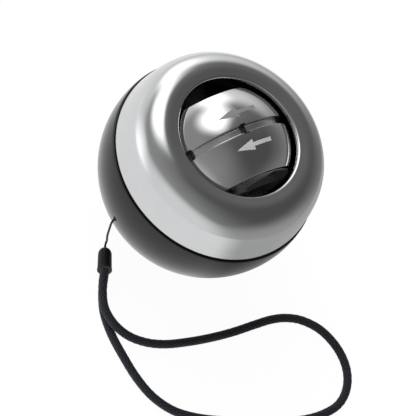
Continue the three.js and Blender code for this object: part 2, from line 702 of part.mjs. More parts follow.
const housingPieces = [
  ['upper_shell', upperShell(), satinSteel],
  ['lower_shell', lowerShell(), darkSteel],
  ['seam_band', seamBand(), rubber],
  ['upper_race', upperRace(), blackPlastic],
  ['lower_race', lowerRace(), blackPlastic],
  ['lanyard_pin', lacePin(), steel],
];
const ringPieces = [
  ['ring_upper', ringHalf(1), greyPlastic],
  ['ring_lower', ringHalf(-1), greyPlastic],
  ...ringScrewPlaces().map((place, i) => [`ring_screw_${i + 1}`, ringScrew(place), steel]),
  ['bush_left', tubeX(boreRadius, bushRadius, -bushEnd, -bushInnerLeft, smallSides), brass],
  ['bush_right', tubeX(boreRadius, bushRadius, blockFace + fitGap, bushEnd, smallSides), brass],
  ['spring_barrel', springBarrel(), greyPlastic],
  ['spring_cover', springCover(), steel],
  ['mainspring', mainspring(), springSteel],
];
const starterPieces = [
  ['spring_arbor', springArbor(), greyPlastic],
  ['pawl_a', pawl(pawlPivotAngles[0]), steel],
  ['pawl_b', pawl(pawlPivotAngles[1]), steel],
];
const rotorPieces = [
  ['rotor_half_left', rotorHalf(-1), chrome],
  ['rotor_half_right', rotorHalf(1), chrome],
  ['rotor_core', rotorCore(), steel],
  ['rotor_cap_left', leftCap(), blackPlastic],
  ['rotor_cap_right', rightCap(), blackPlastic],
  ...capScrewAngles().map((angle, i) => [`cap_screw_right_${i + 1}`, capScrew(angle), steel]),
  ...capScrewAngles().map((angle, i) => [`cap_screw_left_${i + 1}`, capScrew(angle).mirror([1, 0, 0]), steel]),
  ['axle', axle(), steel],
];
const lanyardPieces = [
  ['lanyard_thread', tubeAlong(threadRoute, threadRadius), wovenBlack],
  ['lanyard_cap', laceCap(), blackPlastic],
  ['lanyard_cord', tubeAlong(cordRoute, cordRadius), wovenBlack],
];

for (const pieces of [housingPieces, ringPieces, starterPieces, rotorPieces]) {
  for (const [name, solid, material] of pieces) addPiece(ball, name, solid, material);
}
for (const [name, solid, material] of lanyardPieces) addPiece(wristBall, name, solid, material);

export default wristBall;
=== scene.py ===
# Dresses the gyroscopic wrist ball: smooth metal shells round a chromed rotor, and a braided wrist lanyard.
# Sizes and places are in millimetres, as in the CAD source, and MM turns them into Blender's metres.
import math

import bmesh
import bpy
import numpy as np
from mathutils import Matrix, Vector


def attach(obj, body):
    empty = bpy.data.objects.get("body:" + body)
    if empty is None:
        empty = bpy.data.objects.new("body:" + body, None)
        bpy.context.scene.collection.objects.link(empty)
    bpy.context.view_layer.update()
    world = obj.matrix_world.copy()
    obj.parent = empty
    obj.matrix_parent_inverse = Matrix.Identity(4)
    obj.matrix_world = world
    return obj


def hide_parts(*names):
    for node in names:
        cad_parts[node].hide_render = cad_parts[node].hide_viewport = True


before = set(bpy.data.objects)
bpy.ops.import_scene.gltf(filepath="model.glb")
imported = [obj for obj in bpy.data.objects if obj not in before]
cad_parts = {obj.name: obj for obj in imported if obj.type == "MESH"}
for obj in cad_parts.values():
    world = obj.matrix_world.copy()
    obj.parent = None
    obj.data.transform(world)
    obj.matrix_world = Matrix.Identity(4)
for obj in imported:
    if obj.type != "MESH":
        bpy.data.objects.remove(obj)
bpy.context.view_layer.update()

MM = 0.001
FULL_TURN = 2 * math.pi
QUARTER_TURN = math.pi / 2

# The camera looks down at the ball, rolled so that the axle's right end, at +X, points to the lower right
CAMERA_LENS = 346.15
CAMERA_SENSOR = 36
CAMERA_PLACE = (239.664, -652.041, 990.216)
CAMERA_RIGHT = (0.46871, 0.78067, 0.41337)
CAMERA_UP = (-0.86187, 0.30157, 0.40772)
CAMERA_BACK = (0.19364, -0.54737, 0.81418)
CAMERA_REACH = 10000

# Ball: the lower shell is a sphere, cut at its flat base and at the seam
BALL_RADIUS = 33
BALL_CENTRE_DROP = 4.6
BASE_RADIUS = 10.5
BASE_EDGE = 0.5
SHELL_WALL = 1.3
SEAM_GAP = 0.6
SEAM_EDGE = 0.45
LIP_HEIGHT = 16.9
LIP_FOOT_EDGE = 0.12
RIM_RADIUS = 18.95
RIM_HEIGHT = 16.62
RIM_ROUND = 1.2
RIM_DEPTH = 1.5
RIM_RETURN = 0.6
RIM_FOOT_EDGE = 0.15
# The upper shell's outline, as shares of the seam's radius and of the lip's height
UPPER_SHARES = [
    (0.985, 0.018), (0.982, 0.105), (0.9735, 0.21), (0.9665, 0.315), (0.9585, 0.42), (0.947, 0.525),
    (0.931, 0.63), (0.903, 0.735), (0.862, 0.84), (0.79, 0.94), (0.705, 0.995), (0.635, 0.99),
]

# Rotor
ROTOR_RADIUS = 23.4
ROTOR_FLAT = 13.7
RIGHT_FLAT_SINK = 0.35
FLAT_EDGE = 0.3
BORE_RADIUS = 1.8
GROOVE_HALF_WIDTH = 1.2
GROOVE_EDGE = 0.34
GROOVE_DEPTH = 1.2
CORE_LEDGE = 0.32
CORE_RECESS = 0.18
CORE_SLOPE = 0.1
CORE_EDGE = 0.08
NOTCH_COUNT = 8
NOTCH_ANGLE = 41.2
NOTCH_WIDTH = 2
NOTCH_DEPTH = 1.5
NOTCH_OVERLAP = 0.4
NOTCH_CUT_ABOVE = 1
CAP_RADIUS = 17.57
CAP_SEAT = 8.65
CAP_FACE = 13.5
CAP_FLOOR = 10.15
SEAT_GAP = 0.3
SEAT_EDGE = 0.12
FACE_GAP = 0.05

# The right cap: a dish with a boss and ribs. Its corners are radii, by their place in the outline
DISH_RADIUS = 13.2
BOSS_RADIUS = 4.5
BOSS_TOP = 13.3
CAP_LAND = 1
CAP_EDGE = 0.12
CAP_CORNERS = {2: 0.15, 3: 0.2, 4: 0.3, 5: 0.2, 6: 0.2}
RIB_COUNT = 6
RIB_HALF_WIDTH = 0.65
RIB_DROP = 0.7
RIB_RISE = 0.75
RIB_OVERLAP = 0.3

# Seam band, with its sleeve round the races
RACE_OUTER = 29.5
SLEEVE_GAP = 0.3
SLEEVE_WALL = 0.6
SLEEVE_HALF_HEIGHT = 1.8
BAND_RADIUS = 32.1
BAND_HALF_HEIGHT = 0.25
BAND_EDGE = 0.1

# The lanyard's hole and cap. The cap's corners are radii, by their place in its outline
LACE_EXIT = (2.14, -31.24, 21.4)
LACE_HOLE_RADIUS = 0.7
LACE_HOLE_FLARE = 0.2
LACE_HOLE_CUT_BELOW = 2
LACE_CAP_FOOT = (11.33, -31.67, 3.2)
LACE_CAP_HEADING = (-0.852, 0.523, 0)
STRAND_STACK_LEAN = (-0.214, -0.349, 0.912)
LACE_CAP_LENGTH = 7.3
LACE_CAP_HALF_WIDTH = 2.15
LACE_CAP_HALF_DEPTH = 3
LACE_CAP_TAPER = 0.1
LACE_CAP_LIP = 0.1
LACE_CAP_LIP_HEIGHT = 0.35
LACE_CAP_MOUTH = 1.9
LACE_CAP_MOUTH_DEPTH = 0.5
LACE_CAP_CORNERS = {2: 0.06, 3: 0.1, 4: 0.12, 5: 0.2}

# Thread and cord, with the routes of the CAD source. A relief is how deep the furrows between the yarns are
THREAD_RADIUS = 0.35
THREAD_RELIEF = 0.07
THREAD_SPACING = 0.12
TWIST_PITCH = 1.6
CORD_RADIUS = 1.33
CORD_RELIEF = 0.14
CORD_SPACING = 0.13
BRAID_PAIRS = 8
BRAID_PITCH = 2.1
YARN_ROUNDNESS = 0.6
YARN_DIP = 0.4
THREAD_ROUTE = [
    (2.01, -29.52, 21.94), (2.07, -30.3, 21.71), (2.13, -31.03, 21.42), (2.2, -31.57, 20.95),
    (2.3, -31.83, 20.15), (2.46, -31.65, 18.6), (2.7, -31, 16.1), (2.97, -30, 12.7), (3.2, -28.85, 9.2),
    (3.37, -27.78, 6.6), (3.43, -27.1, 5.1), (3.62, -26.94, 4.05), (4.1, -27.22, 3.42), (4.81, -27.67, 3.2),
]
CORD_ROUTE = [
    (11.88, -31.34, 1.93), (15.2, -33.7, 1.5), (17.9, -35.4, 1.36), (22.9, -37.7, 1.36), (29.7, -38.9, 1.36),
    (37.4, -38.9, 1.36), (44.9, -38.3, 1.36), (51.7, -36.5, 1.36), (57.7, -32.7, 1.36), (62, -27.4, 1.36),
    (66.4, -19.2, 1.36), (71.9, -6.9, 1.36), (76, 7.5, 1.36), (76.6, 14.6, 1.36), (75.9, 19.9, 1.36),
    (73.7, 24.1, 1.36), (70, 27.5, 1.36), (65.2, 29.5, 1.36), (59.1, 29.7, 1.36), (52.5, 27.5, 1.36),
    (47.5, 23, 1.36), (45, 18.25, 1.36), (43.85, 13.5, 1.36), (43.4, 7.95, 1.36), (42.95, -0.4, 1.36),
    (42, -8.5, 1.36), (40.45, -16.85, 1.36), (38.5, -24.3, 1.5), (35.95, -30, 1.95), (32.2, -35.1, 3),
    (27.5, -38.2, 4.2), (22.1, -38.5, 4.4), (16.35, -35.9, 4.4), (11.29, -32.31, 4.47),
]

# Smoothness: sides are counted round a piece, and steps and points along its outline or route
SHELL_SIDES = 256
ROTOR_SIDES = 192
HOLE_SIDES = 48
LACE_CAP_SIDES = 96
CORD_SIDES = 48
THREAD_SIDES = 20
FLOOR_SIDES = 128
UPPER_POINTS = 90
UPPER_INNER_POINTS = 16
LOWER_STEPS = 110
LOWER_INNER_STEPS = 60
DOME_STEPS = 72
LACE_CAP_STEPS = 16
ROUTE_STEPS = 40
ARROW_STEPS = 18
ARROW_COLUMNS = 6
ARC_STEPS = 6
CORNER_SHARE = 0.9
BEVEL_SEGMENTS = 2
SHARP_ANGLE = math.radians(32)
WELD_DISTANCE = 1e-5
NEARLY_ZERO = 1e-9


def leg_of(radius, leg):
    return math.sqrt(radius * radius - leg * leg)


SEAM_RADIUS = leg_of(BALL_RADIUS, BALL_CENTRE_DROP)
SEAM_HEIGHT = BALL_CENTRE_DROP + leg_of(BALL_RADIUS, BASE_RADIUS)
BASE_HEIGHT = -SEAM_HEIGHT


# Outlines: lists of (radius, height)
def arc(radius, centre_height, from_height, to_height, steps):
    first = math.asin((from_height - centre_height) / radius)
    last = math.asin((to_height - centre_height) / radius)
    points = []
    for i in range(steps + 1):
        angle = first + (last - first) * i / steps
        points.append((max(radius * math.cos(angle), 0), centre_height + radius * math.sin(angle)))
    return points


def natural_spline(marks, count):
    """A smooth line through the marks, with its curvature continuous."""
    points = np.array(marks, float)
    lengths = np.hypot(*np.diff(points, axis=0).T)
    knots = np.concatenate([[0], np.cumsum(lengths)])
    size = len(points)
    matrix, right = np.eye(size), np.zeros((size, 2))
    for i in range(1, size - 1):
        before, after = lengths[i - 1], lengths[i]
        matrix[i, i - 1:i + 2] = before, 2 * (before + after), after
        right[i] = 6 * ((points[i + 1] - points[i]) / after - (points[i] - points[i - 1]) / before)
    bends = np.linalg.solve(matrix, right)
    line = []
    for place in np.linspace(0, knots[-1], count):
        i = min(max(int(np.searchsorted(knots, place)) - 1, 0), size - 2)
        step, a, b = lengths[i], knots[i + 1] - place, place - knots[i]
        value = (bends[i] * a ** 3 + bends[i + 1] * b ** 3) / (6 * step)
        value += (points[i] / step - bends[i] * step / 6) * a
        value += (points[i + 1] / step - bends[i + 1] * step / 6) * b
        line.append(tuple(value))
    return line


def rounded(points, radii, steps=ARC_STEPS):
    """Rounds each corner that has a radius in radii, by its index."""
    made = []
    for i, point in enumerate(points):
        radius = radii.get(i, 0)
        if not radius:
            made.append(tuple(point))
            continue
        corner = Vector(point)
        back = Vector(points[i - 1]) - corner
        ahead = Vector(points[(i + 1) % len(points)]) - corner
        half = back.angle(ahead) / 2
        reach = min(radius / math.tan(half), back.length * CORNER_SHARE, ahead.length * CORNER_SHARE)
        start, end = corner + back.normalized() * reach, corner + ahead.normalized() * reach
        for k in range(steps + 1):
            t = k / steps
            made.append(tuple(start * (1 - t) ** 2 + corner * 2 * t * (1 - t) + end * t ** 2))
    return made


# Meshes
def mesh_piece(name, vertices, faces, sharp_edges=True):
    mesh = bpy.data.meshes.new(name)
    mesh.from_pydata([tuple(v) for v in vertices], [], faces)
    work = bmesh.new()
    work.from_mesh(mesh)
    bmesh.ops.remove_doubles(work, verts=work.verts, dist=WELD_DISTANCE * MM)
    bmesh.ops.recalc_face_normals(work, faces=work.faces)
    work.to_mesh(mesh)
    work.free()
    mesh.shade_smooth()
    if sharp_edges:
        mesh.set_sharp_from_angle(angle=SHARP_ANGLE)
    piece = bpy.data.objects.new(name, mesh)
    bpy.context.scene.collection.objects.link(piece)
    return piece


def turned(name, outline, sides, about_x=False):
    """Turns an outline about the ball's vertical axis, or about the rotor's axle."""
    rings, vertices, faces = [], [], []
    for radius, height in outline:
        count = sides if radius > NEARLY_ZERO else 1
        ring = []
        for k in range(count):
            angle = FULL_TURN * k / sides
            across, aside = radius * math.cos(angle), radius * math.sin(angle)
            spot = (height, across, aside) if about_x else (across, aside, height)
            ring.append(len(vertices))
            vertices.append(Vector((spot[0], spot[1], spot[2] + SEAM_HEIGHT)) * MM)
        rings.append(ring)
    closed = len(rings[0]) > 1 and len(rings[-1]) > 1
    pairs = list(zip(rings, rings[1:])) + ([(rings[-1], rings[0])] if closed else [])
    for low, high in pairs:
        for k in range(sides):
            n = (k + 1) % sides
            if len(low) == 1 and len(high) == 1:
                continue
            if len(low) == 1:
                faces.append((low[0], high[k], high[n]))
            elif len(high) == 1:
                faces.append((low[k], low[n], high[0]))
            else:
                faces.append((low[k], low[n], high[n], high[k]))
    return mesh_piece(name, vertices, faces)


def boxes_piece(name, boxes):
    """One mesh of several boxes. Each is (low corner, high corner, matrix)."""
    vertices, faces = [], []
    corner_faces = [(0, 1, 3, 2), (4, 6, 7, 5), (0, 4, 5, 1), (2, 3, 7, 6), (0, 2, 6, 4), (1, 5, 7, 3)]
    for low, high, matrix in boxes:
        first = len(vertices)
        for x in (low[0], high[0]):
            for y in (low[1], high[1]):
                for z in (low[2], high[2]):
                    spot = matrix @ Vector((x, y, z))
                    vertices.append(Vector((spot.x, spot.y, spot.z + SEAM_HEIGHT)) * MM)
        faces.extend(tuple(first + c for c in face) for face in corner_faces)
    return mesh_piece(name, vertices, faces)


def combine(piece, tool, operation):
    """Cuts or joins a mesh with another one, which is then deleted."""
    change = piece.modifiers.new("combine", "BOOLEAN")
    change.operation = operation
    change.solver = "EXACT"
    change.object = tool
    change.material_mode = "TRANSFER"
    apply_modifiers(piece)
    bpy.data.objects.remove(tool)
    piece.data.shade_smooth()
    piece.data.set_sharp_from_angle(angle=SHARP_ANGLE)


def apply_modifiers(piece):
    bpy.context.view_layer.update()
    shape = piece.evaluated_get(bpy.context.evaluated_depsgraph_get())
    mesh = bpy.data.meshes.new_from_object(shape)
    piece.modifiers.clear()
    piece.data = mesh


def bevel(piece, width):
    soft = piece.modifiers.new("edges", "BEVEL")
    soft.width = width * MM
    soft.segments = BEVEL_SEGMENTS
    soft.limit_method = "ANGLE"
    soft.angle_limit = SHARP_ANGLE
    soft.use_clamp_overlap = True
    soft.harden_normals = False


def about_axle(degrees):
    return Matrix.Rotation(math.radians(degrees), 4, "X")


def finish_piece(piece, body, material, slot, *nodes):
    if material.name not in piece.data.materials:
        piece.data.materials.append(material)
    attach(piece, body)
    if nodes:
        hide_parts(*nodes)
    return piece


# Materials: noise scales are in waves per metre, and spreads are how far a roughness wanders
CLOUD_SCALE = 90
METAL_TONE_SCALE = 160
METAL_GRAIN_SCALE = 1500
TOOL_MARK_SCALE = 220
TOOL_MARK_STRETCH = (60, 1, 1)
TOOL_MARK_SPREAD = 0.06
TOOL_MARK_SHADE = 0.9
TOOL_MARK_DEPTH = 0.0006
PLASTIC_TONE_SCALE = 240
PLASTIC_GRAIN_SCALE = 2600
PLASTIC_SPREAD = 0.07
FIBRE_SCALE = 5200
FIBRE_DEPTH = 0.03
YARN_ROUGHNESS = 0.85
YARN_SHEEN = 0.25
YARN_SHEEN_ROUGHNESS = 0.4
YARN_SPECULAR = 0.25
# A Mix node's sockets for colours share their names with others, so they are found by number
MIX_SHARE, MIX_FIRST, MIX_SECOND, MIX_RESULT = 0, 6, 7, 2


def add_node(tree, kind, inputs, settings):
    """Adds a node. Its inputs are pairs of a socket and a value, or of a socket and another node's output."""
    made = tree.nodes.new(kind)
    for key, value in settings.items():
        setattr(made, key, value)
    for key, value in inputs:
        if isinstance(value, bpy.types.NodeSocket):
            tree.links.new(value, made.inputs[key])
        else:
            made.inputs[key].default_value = value
    return made


class Paint:
    """A material's node tree, with short calls for the nodes that the materials here share."""

    def __init__(self, name, color, roughness, metallic=0.0):
        self.material = bpy.data.materials.new(name)
        self.material.use_nodes = True
        self.tree = self.material.node_tree
        self.shader = self.tree.nodes["Principled BSDF"]
        self.shader.inputs["Base Color"].default_value = (*color, 1)
        self.shader.inputs["Roughness"].default_value = roughness
        self.shader.inputs["Metallic"].default_value = metallic
        self.place = self.tree.nodes.new("ShaderNodeTexCoord").outputs["Object"]

    def node(self, kind, inputs=None, **settings):
        return add_node(self.tree, kind, (inputs or {}).items(), settings)

    def noise(self, scale, detail, vector=None):
        inputs = {"Vector": vector or self.place, "Scale": scale, "Detail": detail}
        return self.node("ShaderNodeTexNoise", inputs).outputs["Fac"]

    def stretched(self, scale):
        inputs = {"Vector": self.place, "Scale": scale}
        return self.node("ShaderNodeMapping", inputs).outputs["Vector"]

    def between(self, value, low, high, from_low=0.3, from_high=0.7):
        """Spreads a value over low to high. A noise mostly runs from 0.3 to 0.7."""
        inputs = {"Value": value, "From Min": from_low, "From Max": from_high, "To Min": low, "To Max": high}
        return self.node("ShaderNodeMapRange", inputs).outputs["Result"]

    def colors(self, value, dark, light):
        inputs = {MIX_SHARE: value, MIX_FIRST: (*dark, 1), MIX_SECOND: (*light, 1)}
        return self.node("ShaderNodeMix", inputs, data_type="RGBA").outputs[MIX_RESULT]

    def link(self, value, socket):
        self.tree.links.new(value, self.shader.inputs[socket])

    def bump(self, height, depth):
        inputs = {"Height": height, "Distance": depth * MM, "Strength": 1}
        self.link(self.node("ShaderNodeBump", inputs).outputs["Normal"], "Normal")


def metal(name, color, roughness, spread=0.03, grain_depth=0.0008, tone=0.04):
    paint = Paint(name, color, roughness, 1.0)
    cloud = paint.noise(CLOUD_SCALE, 4)
    paint.link(paint.between(cloud, roughness - spread, roughness + spread), "Roughness")
    darker = tuple(c * (1 - tone) for c in color)
    lighter = tuple(c * (1 + tone) for c in color)
    paint.link(paint.colors(paint.noise(METAL_TONE_SCALE, 5), darker, lighter), "Base Color")
    paint.bump(paint.noise(METAL_GRAIN_SCALE, 2), grain_depth)
    return paint.material


def turned_metal(name, color, roughness):
    """Metal with fine tool marks round its axis."""
    paint = Paint(name, color, roughness, 1.0)
    marks = paint.noise(TOOL_MARK_SCALE, 3, paint.stretched(TOOL_MARK_STRETCH))
    paint.link(paint.between(marks, roughness - TOOL_MARK_SPREAD, roughness + TOOL_MARK_SPREAD), "Roughness")
    darker = tuple(c * TOOL_MARK_SHADE for c in color)
    paint.link(paint.colors(marks, darker, color), "Base Color")
    paint.bump(marks, TOOL_MARK_DEPTH)
    return paint.material


def plastic(name, color, roughness, grain_depth=0.01, specular=0.5):
    paint = Paint(name, color, roughness)
    grain = paint.noise(PLASTIC_GRAIN_SCALE, 3)
    paint.link(paint.between(grain, roughness - PLASTIC_SPREAD, roughness + PLASTIC_SPREAD), "Roughness")
    lighter = tuple(c * 1.5 + 0.004 for c in color)
    paint.link(paint.colors(paint.noise(PLASTIC_TONE_SCALE, 4), color, lighter), "Base Color")
    paint.shader.inputs["Specular IOR Level"].default_value = specular
    paint.bump(grain, grain_depth)
    return paint.material


def woven(name, dark, light):
    """Yarn whose relief is in the mesh: the relief's height is in the attribute named crown. Its colour is
    painted darker towards the furrows, as shade between the yarns, and varies with the fibres.
    """
    paint = Paint(name, dark, YARN_ROUGHNESS)
    crown = paint.node("ShaderNodeAttribute", attribute_name="crown").outputs["Fac"]
    fibre = paint.noise(FIBRE_SCALE, 2)
    fibre_and_furrow_shade = paint.node("ShaderNodeMath", {0: crown, 1: fibre}, operation="MULTIPLY").outputs[0]
    # Painted shade: the colour darkens towards the furrows between the yarns, and wanders with the fibres
    paint.link(paint.colors(paint.between(fibre_and_furrow_shade, 0, 1, 0.02, 0.6), dark, light), "Base Color")
    paint.shader.inputs["Sheen Weight"].default_value = YARN_SHEEN
    paint.shader.inputs["Sheen Roughness"].default_value = YARN_SHEEN_ROUGHNESS
    paint.shader.inputs["Specular IOR Level"].default_value = YARN_SPECULAR
    paint.bump(fibre, FIBRE_DEPTH)
    return paint.material


satin_metal = metal("satin_metal", (0.66, 0.665, 0.672), 0.16)
dark_metal = metal("dark_metal", (0.046, 0.0465, 0.0476), 0.2, tone=0.06)
rotor_chrome = metal("rotor_chrome", (0.66, 0.662, 0.668), 0.1, spread=0.02, grain_depth=0.0003, tone=0.02)
core_steel = turned_metal("core_steel", (0.62, 0.625, 0.63), 0.24)
# The notches' faces are a darker grey metal than the rotor round them: painted shade in the notches
notch_painted_shade = metal("notch_painted_shade", (0.26, 0.26, 0.26), 0.25)
plain_steel = metal("plain_steel", (0.5, 0.51, 0.52), 0.3, grain_depth=0.003)
spring_steel = metal("spring_steel", (0.25, 0.28, 0.33), 0.32)
bush_brass = turned_metal("bush_brass", (0.62, 0.47, 0.22), 0.3)
black_plastic = plastic("black_plastic", (0.03, 0.03, 0.032), 0.34)
end_plastic = plastic("end_plastic", (0.008, 0.008, 0.0085), 0.5, specular=0.2)
ring_plastic = plastic("ring_plastic", (0.08, 0.081, 0.084), 0.36)
# Near-black paint for the upper shell's inner faces: painted shade inside the ball
shell_inside_shade = plastic("shell_inside_shade", (0.02, 0.02, 0.021), 0.5)
band_rubber = plastic("band_rubber", (0.006, 0.006, 0.0065), 0.6)
cap_plastic = plastic("cap_plastic", (0.01, 0.0085, 0.0085), 0.6, grain_depth=0.004, specular=0.25)
# Each yarn's colours run from painted shade in its furrows to its own colour on the crowns
cord_weave = woven("cord_weave", (0.012, 0.0125, 0.016), (0.056, 0.061, 0.073))
thread_weave = woven("thread_weave", (0.004, 0.004, 0.0045), (0.016, 0.016, 0.018))
# The two arrow inks are one grey print: one is painted lighter and one darker, for the light that falls on
# each arrow
print_painted_light = plastic("print_painted_light", (0.95, 0.95, 0.95), 0.5, grain_depth=0.002)
print_painted_shade = plastic("print_painted_shade", (0.33, 0.33, 0.33), 0.5, grain_depth=0.002)


# Camera, floor and light
def camera():
    data = bpy.data.cameras.new("camera")
    data.lens = CAMERA_LENS
    data.sensor_width = CAMERA_SENSOR
    data.clip_end = CAMERA_REACH * MM
    shot = bpy.data.objects.new("camera", data)
    columns = Matrix((CAMERA_RIGHT, CAMERA_UP, CAMERA_BACK)).transposed().to_4x4()
    shot.matrix_world = Matrix.Translation(Vector(CAMERA_PLACE) * MM) @ columns
    bpy.context.scene.collection.objects.link(shot)
    bpy.context.scene.camera = shot


# Angles of the light are in degrees: azimuths run from +X to +Y, from FIRST_AZIMUTH up
FIRST_AZIMUTH = 20
FLOOR_RADIUS = 160
FLOOR_DROP = 0.02
FLOOR_COLOR = (0.12, 0.12, 0.12)
FLOOR_ROUGHNESS = 0.9
FLOOR_SHOWN = 0.955
FLOOR_DARK_GLOW = 0.42
FLOOR_LIGHT_GLOW = 0.88
FLOOR_LIGHT_RISE = (95, 125)
FLOOR_LIGHT_FALL = (338, 362)
BACKDROP_SHOWN = 1

# The studio's two walls: brightness by elevation, and the azimuths where the light wall rises and falls
LIGHT_WALL = [(-15, 1), (20, 0.33), (45, 0.32), (70, 0.235), (90, 0.125)]
DARK_WALL = [(-15, 0.225), (8, 0.17), (35, 0.095), (60, 0.095), (90, 0.125)]
LIGHT_RISE = (67, 206)
LIGHT_FALL = (298, 389)
LOWEST = -15
HIGHEST = 90
# Screens before the walls: azimuth, elevation, half width, half height, soft edge, brightness
SCREENS = [
    (290, -46, 62, 74, 0.22, 0.88),
    (153, 6, 39, 18, 0.6, 0.88),
    (27, -43, 48, 58, 0.55, 0.42),
]
# Soft boxes, the same with their lean and squareness before the brightness
SOFT_BOXES = [
    (181.5, 48.5, 23.5, 15.5, 0.95, 0.3, 2.25, 2.45),
    (159.5, 16.5, 13.5, 15, 0.95, 0.2, 1.7, 1.4),
    (229.5, -7.5, 17.5, 15.5, 0.95, -0.1, 1.3, 0.8),
]


class Studio:
    """Short calls for the nodes that light the ball: of the world, or of the floor's paint."""

    def __init__(self, tree):
        self.tree = tree

    def node(self, kind, inputs=(), **settings):
        return add_node(self.tree, kind, enumerate(inputs), settings)

    def math(self, operation, *inputs):
        return self.node("ShaderNodeMath", inputs, operation=operation).outputs[0]

    def rise(self, value, start, end):
        inputs = (value, start, end, 0.0, 1.0)
        made = self.node("ShaderNodeMapRange", inputs, interpolation_type="SMOOTHSTEP")
        return made.outputs["Result"]

    def rise_and_fall(self, value, rise, fall):
        return self.math("SUBTRACT", self.rise(value, *rise), self.rise(value, *fall))

    def blend(self, share, before, after):
        return self.math("MULTIPLY_ADD", share, self.math("SUBTRACT", after, before), before)

    def azimuth(self, x, y):
        degrees = self.math("DEGREES", self.math("ARCTAN2", y, x))
        return self.math("WRAP", degrees, FIRST_AZIMUTH + 360, FIRST_AZIMUTH)

    def ramp(self, elevation, marks):
        share = self.math("DIVIDE", self.math("SUBTRACT", elevation, LOWEST), HIGHEST - LOWEST)
        ramp = self.node("ShaderNodeValToRGB", (share,))
        stops = ramp.color_ramp.elements
        while len(stops) < len(marks):
            stops.new(0.5)
        for stop, (degrees, value) in zip(stops, marks):
            stop.position = (degrees - LOWEST) / (HIGHEST - LOWEST)
            stop.color = (value, value, value, 1)
        return ramp.outputs["Color"]

    def panel(self, azimuth, elevation, around, up, half_width, half_height, soft, lean=0, square=2):
        """How far a direction lies inside a soft panel, from 0 to 1."""
        above = self.math("SUBTRACT", elevation, up)
        aside = self.math("WRAP", self.math("SUBTRACT", azimuth, around), 180, -180)
        aside = self.math("SUBTRACT", aside, self.math("MULTIPLY", above, lean))
        shares = []
        for offset, half in ((aside, half_width), (above, half_height)):
            share = self.math("ABSOLUTE", self.math("DIVIDE", offset, half))
            shares.append(self.math("POWER", share, square))
        reach = self.math("POWER", self.math("ADD", *shares), 1 / square)
        return self.math("SUBTRACT", 1, self.rise(reach, 1 - soft, 1 + soft))

    def for_camera(self, brightness, shown):
        """The camera sees a plain white ground, and the ball reflects the studio."""
        return self.blend(self.node("ShaderNodeLightPath").outputs["Is Camera Ray"], brightness, shown)


def studio():
    world = bpy.data.worlds.new("studio")
    bpy.context.scene.world = world
    world.use_nodes = True
    world.node_tree.nodes.clear()
    room = Studio(world.node_tree)
    way = room.node("ShaderNodeTexCoord").outputs["Generated"]
    x, y, z = room.node("ShaderNodeSeparateXYZ", (way,)).outputs
    elevation = room.math("DEGREES", room.math("ARCSINE", z))
    azimuth = room.azimuth(x, y)
    lit = room.rise_and_fall(azimuth, LIGHT_RISE, LIGHT_FALL)
    glow = room.blend(lit, room.ramp(elevation, DARK_WALL), room.ramp(elevation, LIGHT_WALL))
    for *place, brightness in SCREENS:
        glow = room.blend(room.panel(azimuth, elevation, *place), glow, brightness)
    for *place, brightness in SOFT_BOXES:
        glow = room.math("MULTIPLY_ADD", room.panel(azimuth, elevation, *place), brightness, glow)
    background = room.node("ShaderNodeBackground", ((1, 1, 1, 1), room.for_camera(glow, BACKDROP_SHOWN)))
    output = room.node("ShaderNodeOutputWorld")
    room.tree.links.new(background.outputs[0], output.inputs[0])


def floor():
    """A round table that looks white to the camera, and shines like the studio where the ball reflects it."""
    mesh = bpy.data.meshes.new("floor")
    rim = [(FLOOR_RADIUS * MM * math.cos(a), FLOOR_RADIUS * MM * math.sin(a), -FLOOR_DROP * MM)
           for a in np.linspace(0, FULL_TURN, FLOOR_SIDES, endpoint=False)]
    mesh.from_pydata(rim, [], [tuple(range(len(rim)))])
    table = bpy.data.objects.new("floor", mesh)
    bpy.context.scene.collection.objects.link(table)
    paint = Paint("floor_paint", FLOOR_COLOR, FLOOR_ROUGHNESS)
    paint.shader.inputs["Specular IOR Level"].default_value = 0
    paint.shader.inputs["Emission Color"].default_value = (1, 1, 1, 1)
    room = Studio(paint.tree)
    x, y = room.node("ShaderNodeSeparateXYZ", (paint.place,)).outputs[:2]
    lit = room.rise_and_fall(room.azimuth(x, y), FLOOR_LIGHT_RISE, FLOOR_LIGHT_FALL)
    glow = room.blend(lit, FLOOR_DARK_GLOW, FLOOR_LIGHT_GLOW)
    paint.link(room.for_camera(glow, FLOOR_SHOWN), "Emission Strength")
    mesh.materials.append(paint.material)


camera()
floor()
studio()
bpy.context.scene.view_settings.view_transform = "Standard"


# Lanyard: tubes along the routes, with their yarns in relief
def smooth_route(route, spacing):
    """Points along the centripetal curve through the route, at even spacing."""
    marks = [Vector(p) for p in route]
    marks.insert(0, marks[0] * 2 - marks[1])
    marks.append(marks[-1] * 2 - marks[-2])
    dense = []
    for p0, p1, p2, p3 in zip(marks, marks[1:], marks[2:], marks[3:]):
        t1 = (p1 - p0).length ** 0.5
        t2 = t1 + (p2 - p1).length ** 0.5
        t3 = t2 + (p3 - p2).length ** 0.5
        for k in range(ROUTE_STEPS):
            t = t1 + (t2 - t1) * k / ROUTE_STEPS
            a1 = p0 * ((t1 - t) / t1) + p1 * (t / t1)
            a2 = p1 * ((t2 - t) / (t2 - t1)) + p2 * ((t - t1) / (t2 - t1))
            a3 = p2 * ((t3 - t) / (t3 - t2)) + p3 * ((t - t2) / (t3 - t2))
            b1 = a1 * ((t2 - t) / t2) + a2 * (t / t2)
            b2 = a2 * ((t3 - t) / (t3 - t1)) + a3 * ((t - t1) / (t3 - t1))
            dense.append(b1 * ((t2 - t) / (t2 - t1)) + b2 * ((t - t1) / (t2 - t1)))
    dense.append(marks[-2])
    lengths = [(b - a).length for a, b in zip(dense, dense[1:])]
    along = np.concatenate([[0], np.cumsum(lengths)])
    places = np.linspace(0, along[-1], round(along[-1] / spacing) + 1)
    columns = [np.interp(places, along, [p[i] for p in dense]) for i in range(3)]
    return [Vector(p) for p in zip(*columns)], float(along[-1])


